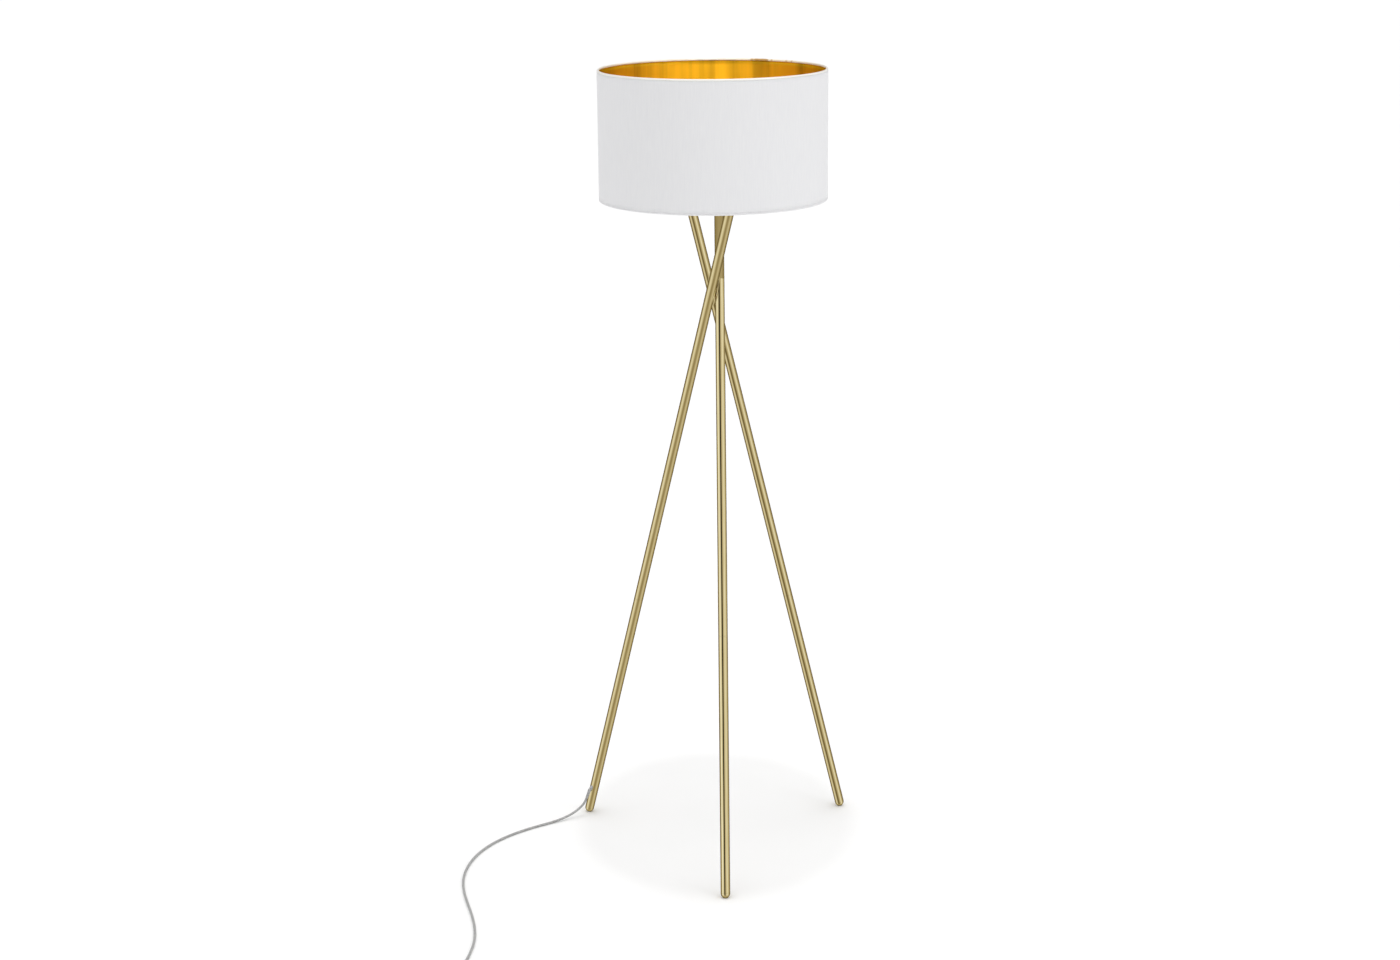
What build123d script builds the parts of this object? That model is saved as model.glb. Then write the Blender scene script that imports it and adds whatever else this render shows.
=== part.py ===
from build123d import *
import math
import os

# Tripod floor lamp. Millimetres, +Z up, origin on the floor on the lamp's vertical axis.
# The front leg's foot lies along -Y, the left foot at 150 degrees and the right foot at 30 degrees.

# ------------------------------------------------------------------ driving sizes
overall_height = 1600.0
shade_diameter = 450.0
shade_height = 255.0
waist_below_hub = 184.0
leg_lean = 15.08
leg_diameter = 19.0
leg_wall = 1.0
leg_gap_at_waist = 0.3
leg_joint_height = 500.0
waist_turn = {"front": -2.05, "left": -122.05, "right": 117.95}

# Clearances between pieces that fit together.
snug = 0.1
seat_gap = 0.3
hair = 0.02

# Foot caps and glides.
foot_pad_thickness = 1.2
foot_pad_radius = 5.0
foot_flat_depth = 0.5
foot_collar_length = 1.0
foot_plug_length = 14.0

# Screw joint between the two leg sections.
joint_seam = 0.2
cable_bore = 3.6
spigot_thread_radius = 6.0
spigot_thread_length = 16.0
spigot_root_length = 20.0
bush_length = 18.0

# Waist welds, one bead through each place where two tubes pass.
weld_radius = 3.5
weld_inward = 3.0
weld_outward = 4.5

# Hub under the lampholder.
hub_inside_shade = 5.0
hub_height = 34.0
hub_margin = 14.2
hub_cover_wall = 1.5
hub_cover_round = 4.0
hub_base_floor = 2.5
hub_base_wall = 2.5
hub_base_rim = 14.0
stud_root_length = 22.0
stud_length = 14.0
thread_radius = 5.0
lamp_nut_flats = 14.0
lamp_nut_thickness = 4.0
washer_thickness = 1.0
washer_radius = 7.5
hub_screw_radius = 1.5
hub_screw_length = 6.0
hub_screw_head_radius = 2.8
hub_screw_head_height = 1.8
hub_screw_head_taper = 0.7
nipple_below_cover = 10.0
nipple_above_cover = 12.0
# The cable's points in the hub: distance from the stud, or from the axis, and height above its floor.
hub_cable_from_stud = [(0.0, 20.0), (14.0, 25.0)]
hub_cable_to_nipple = [(16.0, 8.0), (0.0, 12.0)]
cable_above_nipple = 2.0

# Lampholder.
holder_cap_height = 22.0
holder_cap_overhang = 0.4
holder_cap_foot_radius = 14.0
holder_cone_height = 9.0
holder_wall = 2.0
holder_neck_radius = 8.0
holder_neck_height = 11.0
skirt_radius = 19.6
skirt_height = 36.0
flange_reach = 8.4
flange_offset = 3.0
flange_thickness = 2.5
ring_nut_reach = 7.4
ring_nut_height = 8.0
ring_nut_notches = 24
notch_radius = 1.2
notch_outset = 0.6
insulator_radius = 15.0
insulator_height = 12.0
insulator_above_hub = 15.0
insulator_clearance = 0.5
terminal_height = 3.0
terminal_depth = 6.0
terminal_screw_radius = 1.5
terminal_head_radius = 2.5
terminal_head_height = 1.5
thread_shell_radius = 14.4
thread_shell_wall = 0.8
thread_shell_height = 24.0
contact_height = 4.0
contact_strip = (16.0, 5.0, 0.8)
contact_foot = (3.0, 5.0, 1.0)
contact_pad_radius = 2.5

# Bulb.
bulb_length = 108.0
bulb_globe_radius = 30.0
bulb_globe_wall = 1.2
bulb_globe_cut = 12.0
bulb_collar_radius = 24.0
bulb_collar_seat_share = 0.9
bulb_collar_neck_radius = 14.5
bulb_collar_neck_height = 3.0
bulb_collar_rim_height = 8.0
bulb_board_thickness = 1.0
bulb_board_inset = 2.0
bulb_board_gap = 0.2
bulb_thread_clearance = 0.5
bulb_cap_height = 22.0
bulb_cap_wall = 0.6
bulb_tip_height = 4.0
bulb_tip_wall = 0.7
bulb_tip_plug_height = 3.0
bulb_contact_thickness = 1.2
bulb_contact_radius = 4.6
bulb_tip_radius = 5.0

# Shade.
fabric_thickness = 0.8
lining_thickness = 0.8
rim_roll_radius = 2.2
rim_wire_radius = 1.5
rim_wire_fit = 0.05
rim_mouth_depth = 0.1
fitter_hole_clearance = 1.4
fitter_overhang = 1.5
fitter_thickness = 2.0
spoke_radius = 1.75
spoke_root = 2.0
spoke_end_rise = 1.0
spoke_turns = (90.0, 210.0, 330.0)

# Cord outlet on the left leg.
outlet_turn = -147.5
outlet_axis_height = 67.5
outlet_through_angle = 50.0
outlet_reach = 19.3
outlet_inner_start = 8.0
outlet_through_radius = 3.4
outlet_hole_radius = 3.7
outlet_cone_angle = 26.0
outlet_cone_length = 18.0
outlet_ball_radius = 3.5
relief_wall = 0.3

# Cord.
cord_radius = 2.5
outlet_straight = 11.0
switch_straight = 20.0
plug_straight = 15.0

# Foot switch, lying along X.
switch_centre = (-372.0, -680.0)
switch_length = 72.0
switch_width = 34.0
switch_base_height = 7.0
switch_height = 20.0
switch_wall = 2.0
switch_entry_height = 8.0
switch_relief_length = 20.0
switch_relief_radius = 4.5
switch_corner_cut = 1.0
switch_edge_round = 4.0
switch_screw_reach = 20.0
switch_boss_radius = 3.2
switch_pilot_radius = 1.4
switch_pilot_depth = 9.0
switch_screw_radius = 1.3
switch_screw_length = 8.0
switch_screw_head = (2.5, 1.0)
switch_screw_sunk = 0.2
switch_counterbore = (2.6, 2.2)
switch_blade = (26.0, 3.0, 3.0)
switch_blade_reach = 9.0
button_radius = 11.0
button_rise = 5.0
button_flange = 1.5
button_flange_reach = 1.2
button_round_share = 0.8
button_stem = (3.0, 6.0)
spring_radius = 5.0
spring_bore = 4.0

# Coil of spare cord.
coil_centre = (-232.0, -714.0)
coil_outer_radius = 36.6
coil_inner_radius = 21.4
coil_bottom = 1.0
coil_height = 10.0
coil_edge_round = 2.3
tie_width = 9.0
tie_thickness = 0.8
tie_turns = (205.0, 335.0)

# Plug.
plug_entry = (-148.0, -690.0, 7.0)
plug_heading = -20.0
plug_relief_length = 24.0
plug_length = 37.0
plug_width = 34.0
plug_neck_width = 18.0
plug_thickness = 13.6
plug_shoulder_share = 0.55
plug_corner_round = 4.0
plug_edge_round = 2.5
plug_relief_radius = 5.0
pin_pitch = 18.6
pin_radius = 2.0
pin_length = 19.0
pin_sleeve_length = 10.0
pin_sleeve_radius = 1.75
pin_core_radius = 1.3
pin_tip_round = 1.2

# ------------------------------------------------------------------ derived places
lean_slope = math.tan(math.radians(leg_lean))
leg_radius = leg_diameter / 2
leg_bore = leg_radius - leg_wall
insert_radius = leg_bore - snug
waist_radius = ((leg_diameter + leg_gap_at_waist) * math.sqrt(1 + lean_slope ** 2 / 4)
                / math.sqrt(3))
foot_ball_height = leg_radius - foot_flat_depth
shade_bottom = overall_height - shade_height
shade_radius = shade_diameter / 2
fabric_inner = shade_radius - fabric_thickness
lining_inner = fabric_inner - lining_thickness
roll_centre_radius = shade_radius - rim_roll_radius
hub_bottom = shade_bottom + hub_inside_shade
hub_top = hub_bottom + hub_height
waist_height = hub_bottom - waist_below_hub
stud_circle = math.hypot(waist_radius, waist_below_hub * lean_slope)
hub_radius = stud_circle + hub_margin
hub_base_radius = hub_radius - hub_cover_wall - seat_gap
holder_cap_radius = skirt_radius + holder_cap_overhang
skirt_bore = insulator_radius + insulator_clearance
skirt_bottom = hub_top + holder_cap_height
flange_radius = skirt_radius + flange_reach
flange_bottom = skirt_bottom + flange_offset
flange_top = flange_bottom + flange_thickness
fitter_hole_radius = skirt_radius + fitter_hole_clearance
fitter_ring_radius = flange_radius + fitter_overhang
fitter_bottom = flange_top + seat_gap
fitter_top = fitter_bottom + fitter_thickness
ring_nut_radius = skirt_radius + ring_nut_reach
ring_nut_bottom = fitter_top + seat_gap
insulator_bottom = hub_top + insulator_above_hub
insulator_top = insulator_bottom + insulator_height
contact_top = insulator_top + contact_height
bulb_bottom = contact_top + seat_gap
bulb_top = bulb_bottom + bulb_length
bulb_cap_radius = thread_shell_radius - thread_shell_wall - bulb_thread_clearance
bulb_cap_bottom = bulb_bottom + bulb_tip_height
bulb_cap_top = bulb_cap_bottom + bulb_cap_height
globe_centre = bulb_top - bulb_globe_radius
globe_bottom = globe_centre - bulb_globe_cut

nodes = {}


# ------------------------------------------------------------------ helpers
def er(turn):
    """Unit vector pointing outward at a turn in degrees about the lamp's axis."""
    return Vector(math.cos(math.radians(turn)), math.sin(math.radians(turn)), 0)


def leg_point(side, height):
    """Point on a leg's axis at a height above the floor."""
    outward = er(waist_turn[side])
    sideways = Vector(outward.Y, -outward.X, 0)
    reach = (waist_height - height) * lean_slope
    return outward * waist_radius + sideways * reach + Vector(0, 0, height)


def leg_direction(side):
    """Unit vector up along a leg."""
    return (leg_point(side, hub_bottom) - leg_point(side, 0.0)).normalized()


def rod(start, end, radius, end_radius=None):
    """Round bar or cone from one point to another."""
    span = end - start
    place = Plane(origin=start, z_dir=span).location
    low = (Align.CENTER, Align.CENTER, Align.MIN)
    if end_radius is None:
        return place * Cylinder(radius, span.length, align=low)
    return place * Cone(radius, end_radius, span.length, align=low)


def pipe(start, end, outer, inner):
    """Round tube from one point to another."""
    return rod(start, end, outer) - rod(start, end, inner)


def disc(bottom, height, radius, x=0.0, y=0.0):
    """Upright disc with its underside at a height."""
    return rod(Vector(x, y, bottom), Vector(x, y, bottom + height), radius)


def ring(bottom, height, outer, inner, x=0.0, y=0.0):
    """Upright ring with its underside at a height."""
    return disc(bottom, height, outer, x, y) - disc(bottom, height, inner, x, y)


def below(part, height):
    """What a part has below a height."""
    return split(part, bisect_by=Plane.XY.offset(height), keep=Keep.BOTTOM)


def above(part, height):
    """What a part has above a height."""
    return split(part, bisect_by=Plane.XY.offset(height), keep=Keep.TOP)


def hex_nut(centre, bottom, height, flats, bore):
    """Hexagon nut lying flat."""
    corner = flats / math.sqrt(3)
    blank = Pos(centre.X, centre.Y, bottom) * extrude(RegularPolygon(corner, 6), height)
    return blank - disc(bottom, height, bore, centre.X, centre.Y)


def turned(points):
    """Solid turned about the lamp's axis from a closed outline of (radius, height) points."""
    outline = make_face(Plane.XZ * Polyline(*points, close=True))
    return revolve(outline, Axis.Z)


def group(parts):
    """Several separate solids in one node."""
    solids = []
    for part in parts:
        solids.extend(part.solids())
    return Compound(children=solids)


def corner_radii(points, label):
    """Arc radius at each corner of a cord's route: 0.45 of the shorter run over tan(half the turn)."""
    radii = []
    for before, here, after in zip(points, points[1:], points[2:]):
        first = here - before
        second = after - here
        half_turn = math.radians(first.get_angle(second)) / 2
        radii.append(0.45 * min(first.length, second.length) / math.tan(half_turn))
    print(label, "radii", [round(radius) for radius in radii])
    return radii


def cord_tube(points, label):
    """Round cord along straight runs joined by tangent arcs."""
    path = FilletPolyline(*points, radius=corner_radii(points, label))
    section = Plane(origin=points[0], z_dir=points[1] - points[0]) * Circle(cord_radius)
    solid = sweep(section, path=path)
    expected = math.pi * cord_radius ** 2 * path.length
    print(label, "length", round(path.length), "volume ratio", round(solid.volume / expected, 4))
    return solid


# ------------------------------------------------------------------ cord outlet
def outlet_frame():
    """Outlet's turn on the leg's axis, its inner end, its elbow outside the leg and its outer end."""
    outward = er(outlet_turn)
    through = math.radians(outlet_through_angle)
    slant = outward * math.sin(through) - Vector(0, 0, 1) * math.cos(through)
    turn_in = leg_point("left", outlet_axis_height)
    inner_end = turn_in + slant * outlet_inner_start
    elbow = turn_in + slant * outlet_reach
    cone = math.radians(outlet_cone_angle)
    down = outward * math.sin(cone) - Vector(0, 0, 1) * math.cos(cone)
    outer_end = elbow + down * outlet_cone_length
    return turn_in, inner_end, elbow, outer_end


def cord_outlet():
    """Moulded relief that brings the cord out of the left leg and points it down."""
    _, inner_end, elbow, outer_end = outlet_frame()
    body = rod(inner_end, elbow, outlet_through_radius)
    body += Pos(elbow.X, elbow.Y, elbow.Z) * Sphere(outlet_ball_radius)
    body += rod(elbow, outer_end, outlet_ball_radius, cord_radius + relief_wall)
    return body


def outlet_hole():
    """Slanted hole for the outlet through the wall of the left leg."""
    _, inner_end, elbow, _ = outlet_frame()
    return rod(inner_end, elbow, outlet_hole_radius)


# ------------------------------------------------------------------ legs
def joint_point(side, offset=0.0):
    """Point on a leg's axis at its screw joint, moved up along the leg by an offset."""
    return leg_point(side, leg_joint_height) + leg_direction(side) * offset


def seam_point(side, offset=0.0):
    """Point on a leg's axis where the foot cap meets the tube."""
    return leg_point(side, foot_ball_height) + leg_direction(side) * (foot_collar_length + offset)


def build_leg(side):
    """Two tube sections and the foot cap of one leg; gives back its glide."""
    far = leg_point(side, hub_bottom + leg_diameter)
    upper = below(pipe(joint_point(side, joint_seam), far, leg_radius, leg_bore), hub_bottom)
    lower = pipe(seam_point(side, joint_seam), joint_point(side), leg_radius, leg_bore)
    if side == "left":
        lower -= outlet_hole()
    nodes[f"leg_upper_{side}"] = upper
    nodes[f"leg_lower_{side}"] = lower

    ball = leg_point(side, foot_ball_height)
    cap = Pos(ball.X, ball.Y, ball.Z) * Sphere(leg_radius)
    cap -= rod(ball, ball + leg_direction(side) * leg_diameter, leg_diameter)
    cap += rod(ball, seam_point(side), leg_radius)
    cap += rod(ball, seam_point(side, foot_plug_length), insert_radius)
    nodes[f"foot_cap_{side}"] = above(cap, foot_pad_thickness)
    return disc(0, foot_pad_thickness, foot_pad_radius, ball.X, ball.Y)


def build_leg_joints():
    """Hollow spigots fixed in the lower tubes and the bushes in the upper tubes that they screw into."""
    spigots = []
    bushes = []
    for side in waist_turn:
        root = rod(joint_point(side, -spigot_root_length), joint_point(side), insert_radius)
        stud = rod(joint_point(side), joint_point(side, spigot_thread_length), spigot_thread_radius)
        bore = rod(joint_point(side, -2 * spigot_root_length), joint_point(side, 2 * bush_length),
                   cable_bore)
        spigots.append(root + stud - bore)
        bushes.append(pipe(joint_point(side, joint_seam), joint_point(side, bush_length),
                           insert_radius, spigot_thread_radius + snug))
    nodes["leg_joint_spigots"] = group(spigots)
    nodes["leg_joint_bushes"] = group(bushes)


def build_waist_welds():
    """Weld beads in the three notches where two tubes cross."""
    beads = []
    sides = list(waist_turn)
    for first, second in zip(sides, sides[1:] + sides[:1]):
        middle = (leg_point(first, waist_height) + leg_point(second, waist_height)) * 0.5
        outward = (er(waist_turn[first]) + er(waist_turn[second])).normalized()
        bead = rod(middle - outward * weld_inward, middle + outward * weld_outward, weld_radius)
        for side in (first, second):
            span = leg_direction(side) * 2 * leg_diameter
            centre = leg_point(side, waist_height)
            bead -= rod(centre - span, centre + span, leg_radius + hair)
        beads.append(bead)
    nodes["waist_welds"] = group(beads)


# ------------------------------------------------------------------ hub
def build_hub():
    """Round junction box that the leg tops are bolted to, with its cover and fasteners."""
    base = disc(hub_bottom, hub_base_rim, hub_base_radius)
    base -= disc(hub_bottom + hub_base_floor, hub_base_rim, hub_base_radius - hub_base_wall)
    cover = turned([(hub_radius, hub_bottom), (hub_radius, hub_top), (0, hub_top),
                    (0, hub_top - hub_cover_wall), (hub_radius - hub_cover_wall, hub_top - hub_cover_wall),
                    (hub_radius - hub_cover_wall, hub_bottom)])
    rim_edges = cover.edges().filter_by(GeomType.CIRCLE).group_by(Axis.Z)[-1].sort_by(SortBy.RADIUS)
    cover = fillet(rim_edges[-1], hub_cover_round)
    cover -= disc(hub_top - 2 * hub_cover_wall, 3 * hub_cover_wall, thread_radius + snug)

    studs = []
    nuts = []
    washers = []
    seat = hub_bottom + hub_base_floor
    for side in waist_turn:
        top = leg_point(side, hub_bottom)
        root_start = top - leg_direction(side) * stud_root_length
        root = below(rod(root_start, top + leg_direction(side) * leg_diameter, insert_radius), hub_bottom)
        stud = disc(hub_bottom, stud_length, thread_radius, top.X, top.Y)
        bore = rod(root_start - leg_direction(side), top, cable_bore)
        bore += disc(hub_bottom - 1, stud_length + 2, cable_bore, top.X, top.Y)
        studs.append(root + stud - bore)
        base -= disc(hub_bottom - 1, hub_base_rim, thread_radius + snug, top.X, top.Y)
        washers.append(ring(seat, washer_thickness, washer_radius, thread_radius + snug, top.X, top.Y))
        nuts.append(hex_nut(top, seat + washer_thickness, lamp_nut_thickness, lamp_nut_flats,
                            thread_radius + hair))

    screws = []
    screw_height = hub_bottom + hub_base_rim / 2
    for turn in spoke_turns:
        outward = er(turn)
        head_seat = outward * hub_radius + Vector(0, 0, screw_height)
        shank = rod(head_seat - outward * hub_screw_length, head_seat, hub_screw_radius)
        head = rod(head_seat, head_seat + outward * hub_screw_head_height,
                   hub_screw_head_radius, hub_screw_head_radius * hub_screw_head_taper)
        screws.append(shank + head)
        hole = rod(head_seat - outward * (hub_screw_length + 1), head_seat + outward,
                   hub_screw_radius + hair)
        base -= hole
        cover -= hole
    nodes["hub_base"] = base
    nodes["hub_cover"] = cover
    nodes["leg_top_studs"] = group(studs)
    nodes["hub_screws"] = group(screws)

    cover_inside = hub_top - hub_cover_wall
    nut_bottom = cover_inside - washer_thickness - lamp_nut_thickness
    nodes["nipple"] = ring(hub_top - nipple_below_cover, nipple_below_cover + nipple_above_cover,
                           thread_radius, cable_bore)
    washers.append(ring(cover_inside - washer_thickness, washer_thickness,
                        washer_radius, thread_radius + snug))
    nuts.append(hex_nut(Vector(0, 0, 0), nut_bottom, lamp_nut_thickness, lamp_nut_flats,
                        thread_radius + hair))
    nodes["hub_washers"] = group(washers)
    nodes["hub_nuts"] = group(nuts)


def build_inner_cable():
    """Cable from the outlet up inside the left leg, across the hub and up into the lampholder."""
    turn_in, inner_end, _, _ = outlet_frame()
    top = leg_point("left", hub_bottom)
    inward = Vector(-top.X, -top.Y, 0).normalized()

    def in_hub(from_stud, height):
        return Vector(top.X, top.Y, hub_bottom + height) + inward * from_stud

    reach = Vector(top.X, top.Y, 0).length
    points = [inner_end, turn_in, top]
    points += [in_hub(from_stud, height) for from_stud, height in hub_cable_from_stud]
    points += [in_hub(reach - from_axis, height) for from_axis, height in hub_cable_to_nipple]
    points += [Vector(0, 0, hub_top + nipple_above_cover + cable_above_nipple)]
    nodes["cable_inner"] = cord_tube(points, "cable_inner")


# ------------------------------------------------------------------ lampholder
def build_lampholder():
    """E27 lampholder on the hub, with the ring nut that holds the shade."""
    cone_top = hub_top + holder_cone_height
    neck_top = hub_top + holder_neck_height
    cap = turned([(holder_cap_foot_radius, hub_top), (holder_cap_radius, cone_top),
                  (holder_cap_radius, skirt_bottom), (holder_cap_radius - holder_wall, skirt_bottom),
                  (holder_cap_radius - holder_wall, cone_top + holder_wall / 2),
                  (holder_cap_foot_radius - holder_wall / 2, hub_top + holder_wall),
                  (holder_neck_radius, hub_top + holder_wall), (holder_neck_radius, neck_top),
                  (thread_radius + snug, neck_top), (thread_radius + snug, hub_top)])
    skirt = ring(skirt_bottom, skirt_height, skirt_radius, skirt_bore)
    skirt += ring(flange_bottom, flange_thickness, flange_radius, skirt_radius - snug)
    nodes["lampholder_cap"] = cap
    nodes["lampholder_skirt"] = skirt
    nodes["shade_ring_nut"] = ring_nut()

    block = disc(insulator_bottom, insulator_height, insulator_radius)
    screw_height = insulator_bottom + terminal_height
    screws = []
    for turn in (0.0, 180.0):
        outward = er(turn)
        face = outward * insulator_radius + Vector(0, 0, screw_height)
        tip = face - outward * terminal_depth
        screws.append(rod(tip, face, terminal_screw_radius)
                      + rod(face, face + outward * terminal_head_height, terminal_head_radius))
        block -= rod(tip, face + outward, terminal_screw_radius + hair)
    nodes["lampholder_insulator"] = block
    nodes["lampholder_screws"] = group(screws)
    nodes["lampholder_thread_shell"] = ring(insulator_top + hair, thread_shell_height,
                                            thread_shell_radius, thread_shell_radius - thread_shell_wall)
    standing = (Align.CENTER, Align.CENTER, Align.MIN)
    strip_bottom = insulator_top + contact_foot[2]
    strip = Pos(0, 0, strip_bottom) * Box(*contact_strip, align=standing)
    foot_x = (contact_foot[0] - contact_strip[0]) / 2
    foot = Pos(foot_x, 0, insulator_top) * Box(*contact_foot, align=standing)
    pad = disc(strip_bottom, contact_top - strip_bottom, contact_pad_radius)
    nodes["lampholder_centre_contact"] = strip + foot + pad


def ring_nut():
    """Ring nut with grip notches round its edge."""
    nut = ring(ring_nut_bottom, ring_nut_height, ring_nut_radius, skirt_radius + hair)
    for step in range(ring_nut_notches):
        edge = er(360.0 * step / ring_nut_notches) * (ring_nut_radius + notch_outset)
        nut -= disc(ring_nut_bottom - 1, ring_nut_height + 2, notch_radius, edge.X, edge.Y)
    return nut


# ------------------------------------------------------------------ bulb
def build_bulb():
    """LED bulb: screw cap, contact, collar, light board and hollow globe."""
    seat_radius = bulb_globe_radius * bulb_collar_seat_share
    board_bottom = globe_bottom - bulb_board_thickness - bulb_board_gap
    sphere = Pos(0, 0, globe_centre) * Sphere(bulb_globe_radius)
    hollow = Pos(0, 0, globe_centre) * Sphere(bulb_globe_radius - bulb_globe_wall)
    nodes["bulb_globe"] = above(sphere - hollow, globe_bottom)
    nodes["bulb_led_board"] = disc(board_bottom, bulb_board_thickness, bulb_collar_radius - bulb_board_inset)
    cap_inner = bulb_cap_radius - bulb_cap_wall
    nodes["bulb_collar"] = turned([
        (0, bulb_cap_top), (cap_inner, bulb_cap_top),
        (bulb_collar_neck_radius, bulb_cap_top + bulb_collar_neck_height),
        (seat_radius, globe_bottom - bulb_collar_rim_height), (seat_radius, globe_bottom - hair),
        (bulb_collar_radius, globe_bottom - hair), (bulb_collar_radius, board_bottom - hair),
        (0, board_bottom - hair)])
    nodes["bulb_cap"] = ring(bulb_cap_bottom, bulb_cap_height - hair, bulb_cap_radius, cap_inner)
    tip_bottom = bulb_bottom + bulb_contact_thickness
    tip_radius = bulb_cap_radius - bulb_tip_wall
    tip_top = bulb_cap_bottom + bulb_tip_plug_height
    nodes["bulb_insulator"] = turned([(0, tip_bottom), (bulb_tip_radius, tip_bottom),
                                      (tip_radius, bulb_cap_bottom), (tip_radius, tip_top), (0, tip_top)])
    nodes["bulb_contact"] = disc(bulb_bottom, bulb_contact_thickness - hair, bulb_contact_radius)


# ------------------------------------------------------------------ shade
def shade_sheet(outer, inner):
    """Drum wall whose two edges tuck into the rolled rims."""
    edge = rim_roll_radius + rim_wire_radius - rim_wire_fit
    return ring(shade_bottom + edge, shade_height - 2 * edge, outer, inner)


def rim_outline(height, opens_down):
    """Section of the foil roll round a rim wire, open where the drum wall enters."""
    sheet = fabric_thickness + lining_thickness
    roll = Circle(rim_roll_radius) - Circle(rim_wire_radius + rim_wire_fit)
    mouth_height = 2 * rim_roll_radius
    mouth_centre = rim_wire_radius - rim_mouth_depth + mouth_height / 2
    mouth = Pos(rim_roll_radius - sheet / 2, -mouth_centre if opens_down else mouth_centre)
    roll -= mouth * Rectangle(sheet + 2 * hair, mouth_height)
    return Plane.XZ * Pos(roll_centre_radius, height) * roll


def build_shade():
    """Drum shade: cloth, gold lining, rim wires, rolled rims and the three-armed fitter."""
    top_roll = overall_height - rim_roll_radius
    bottom_roll = shade_bottom + rim_roll_radius
    nodes["shade_fabric"] = shade_sheet(shade_radius, fabric_inner)
    nodes["shade_lining"] = shade_sheet(fabric_inner - hair, lining_inner)
    for name, height, opens_down in (("top", top_roll, True), ("bottom", bottom_roll, False)):
        nodes[f"shade_wire_{name}"] = Pos(0, 0, height) * Torus(roll_centre_radius, rim_wire_radius)
        nodes[f"shade_trim_{name}"] = revolve(rim_outline(height, opens_down), Axis.Z)

    plate = ring(fitter_bottom, fitter_thickness, fitter_ring_radius, fitter_hole_radius)
    plate_middle = fitter_bottom + fitter_thickness / 2
    middle_hole = disc(fitter_bottom - fitter_thickness, 3 * fitter_thickness, fitter_ring_radius + hair)
    spokes = []
    for turn in spoke_turns:
        outward = er(turn)
        start = outward * (fitter_ring_radius - spoke_root) + Vector(0, 0, plate_middle)
        end_reach = roll_centre_radius - rim_roll_radius - hair
        end = outward * end_reach + Vector(0, 0, bottom_roll + spoke_end_rise)
        spokes.append(rod(start, end, spoke_radius) - middle_hole)
    nodes["shade_fitter_ring"] = plate
    nodes["shade_spokes"] = group(spokes)


# ------------------------------------------------------------------ cord, switch, coil and plug
# Route of the cord after the outlet: down to the floor, forward in a long bend, then round to the switch.
lamp_lead_route = [
    (-288.0, 129.2, 20.9), (-300.7, 121.2, 12.9), (-318.4, 109.9, 6.5), (-341.8, 94.9, 3.2),
    (-372.0, 76.0, 2.6), (-409.0, 50.0, 2.6), (-446.0, 16.0, 2.6), (-479.0, -27.0, 2.6),
    (-504.0, -78.0, 2.6), (-519.0, -134.0, 2.6), (-525.0, -192.0, 2.6), (-521.0, -251.0, 2.6),
    (-511.0, -309.0, 2.6), (-499.0, -367.0, 2.6), (-490.0, -425.0, 2.6), (-487.0, -483.0, 2.6),
    (-492.0, -540.0, 2.6), (-503.0, -594.0, 2.6), (-507.0, -634.0, 2.6), (-498.0, -662.0, 2.6),
    (-475.0, -677.0, 3.8)]
# From the switch to the coil's lower layer, and from its upper layer to the plug.
plug_lead_route = [(-278.0, -681.2, 4.6), (-261.0, -680.8, 3.6), (-245.0, -680.0, 3.5)]
coil_tail_route = [(-219.0, -680.4, 8.5), (-202.0, -679.2, 8.2)]


def switch_end(direction, extra=0.0):
    """End of the switch's relief on one side, or a point further out."""
    x, y = switch_centre
    return Vector(x + direction * (switch_length / 2 + switch_relief_length + extra), y, switch_entry_height)


def plug_end(extra=0.0):
    """End of the plug's relief, or a point further back from the plug."""
    return Vector(*plug_entry) - er(plug_heading) * (plug_relief_length + extra)


def as_points(route):
    """Route as vectors."""
    return [Vector(*point) for point in route]


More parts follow.
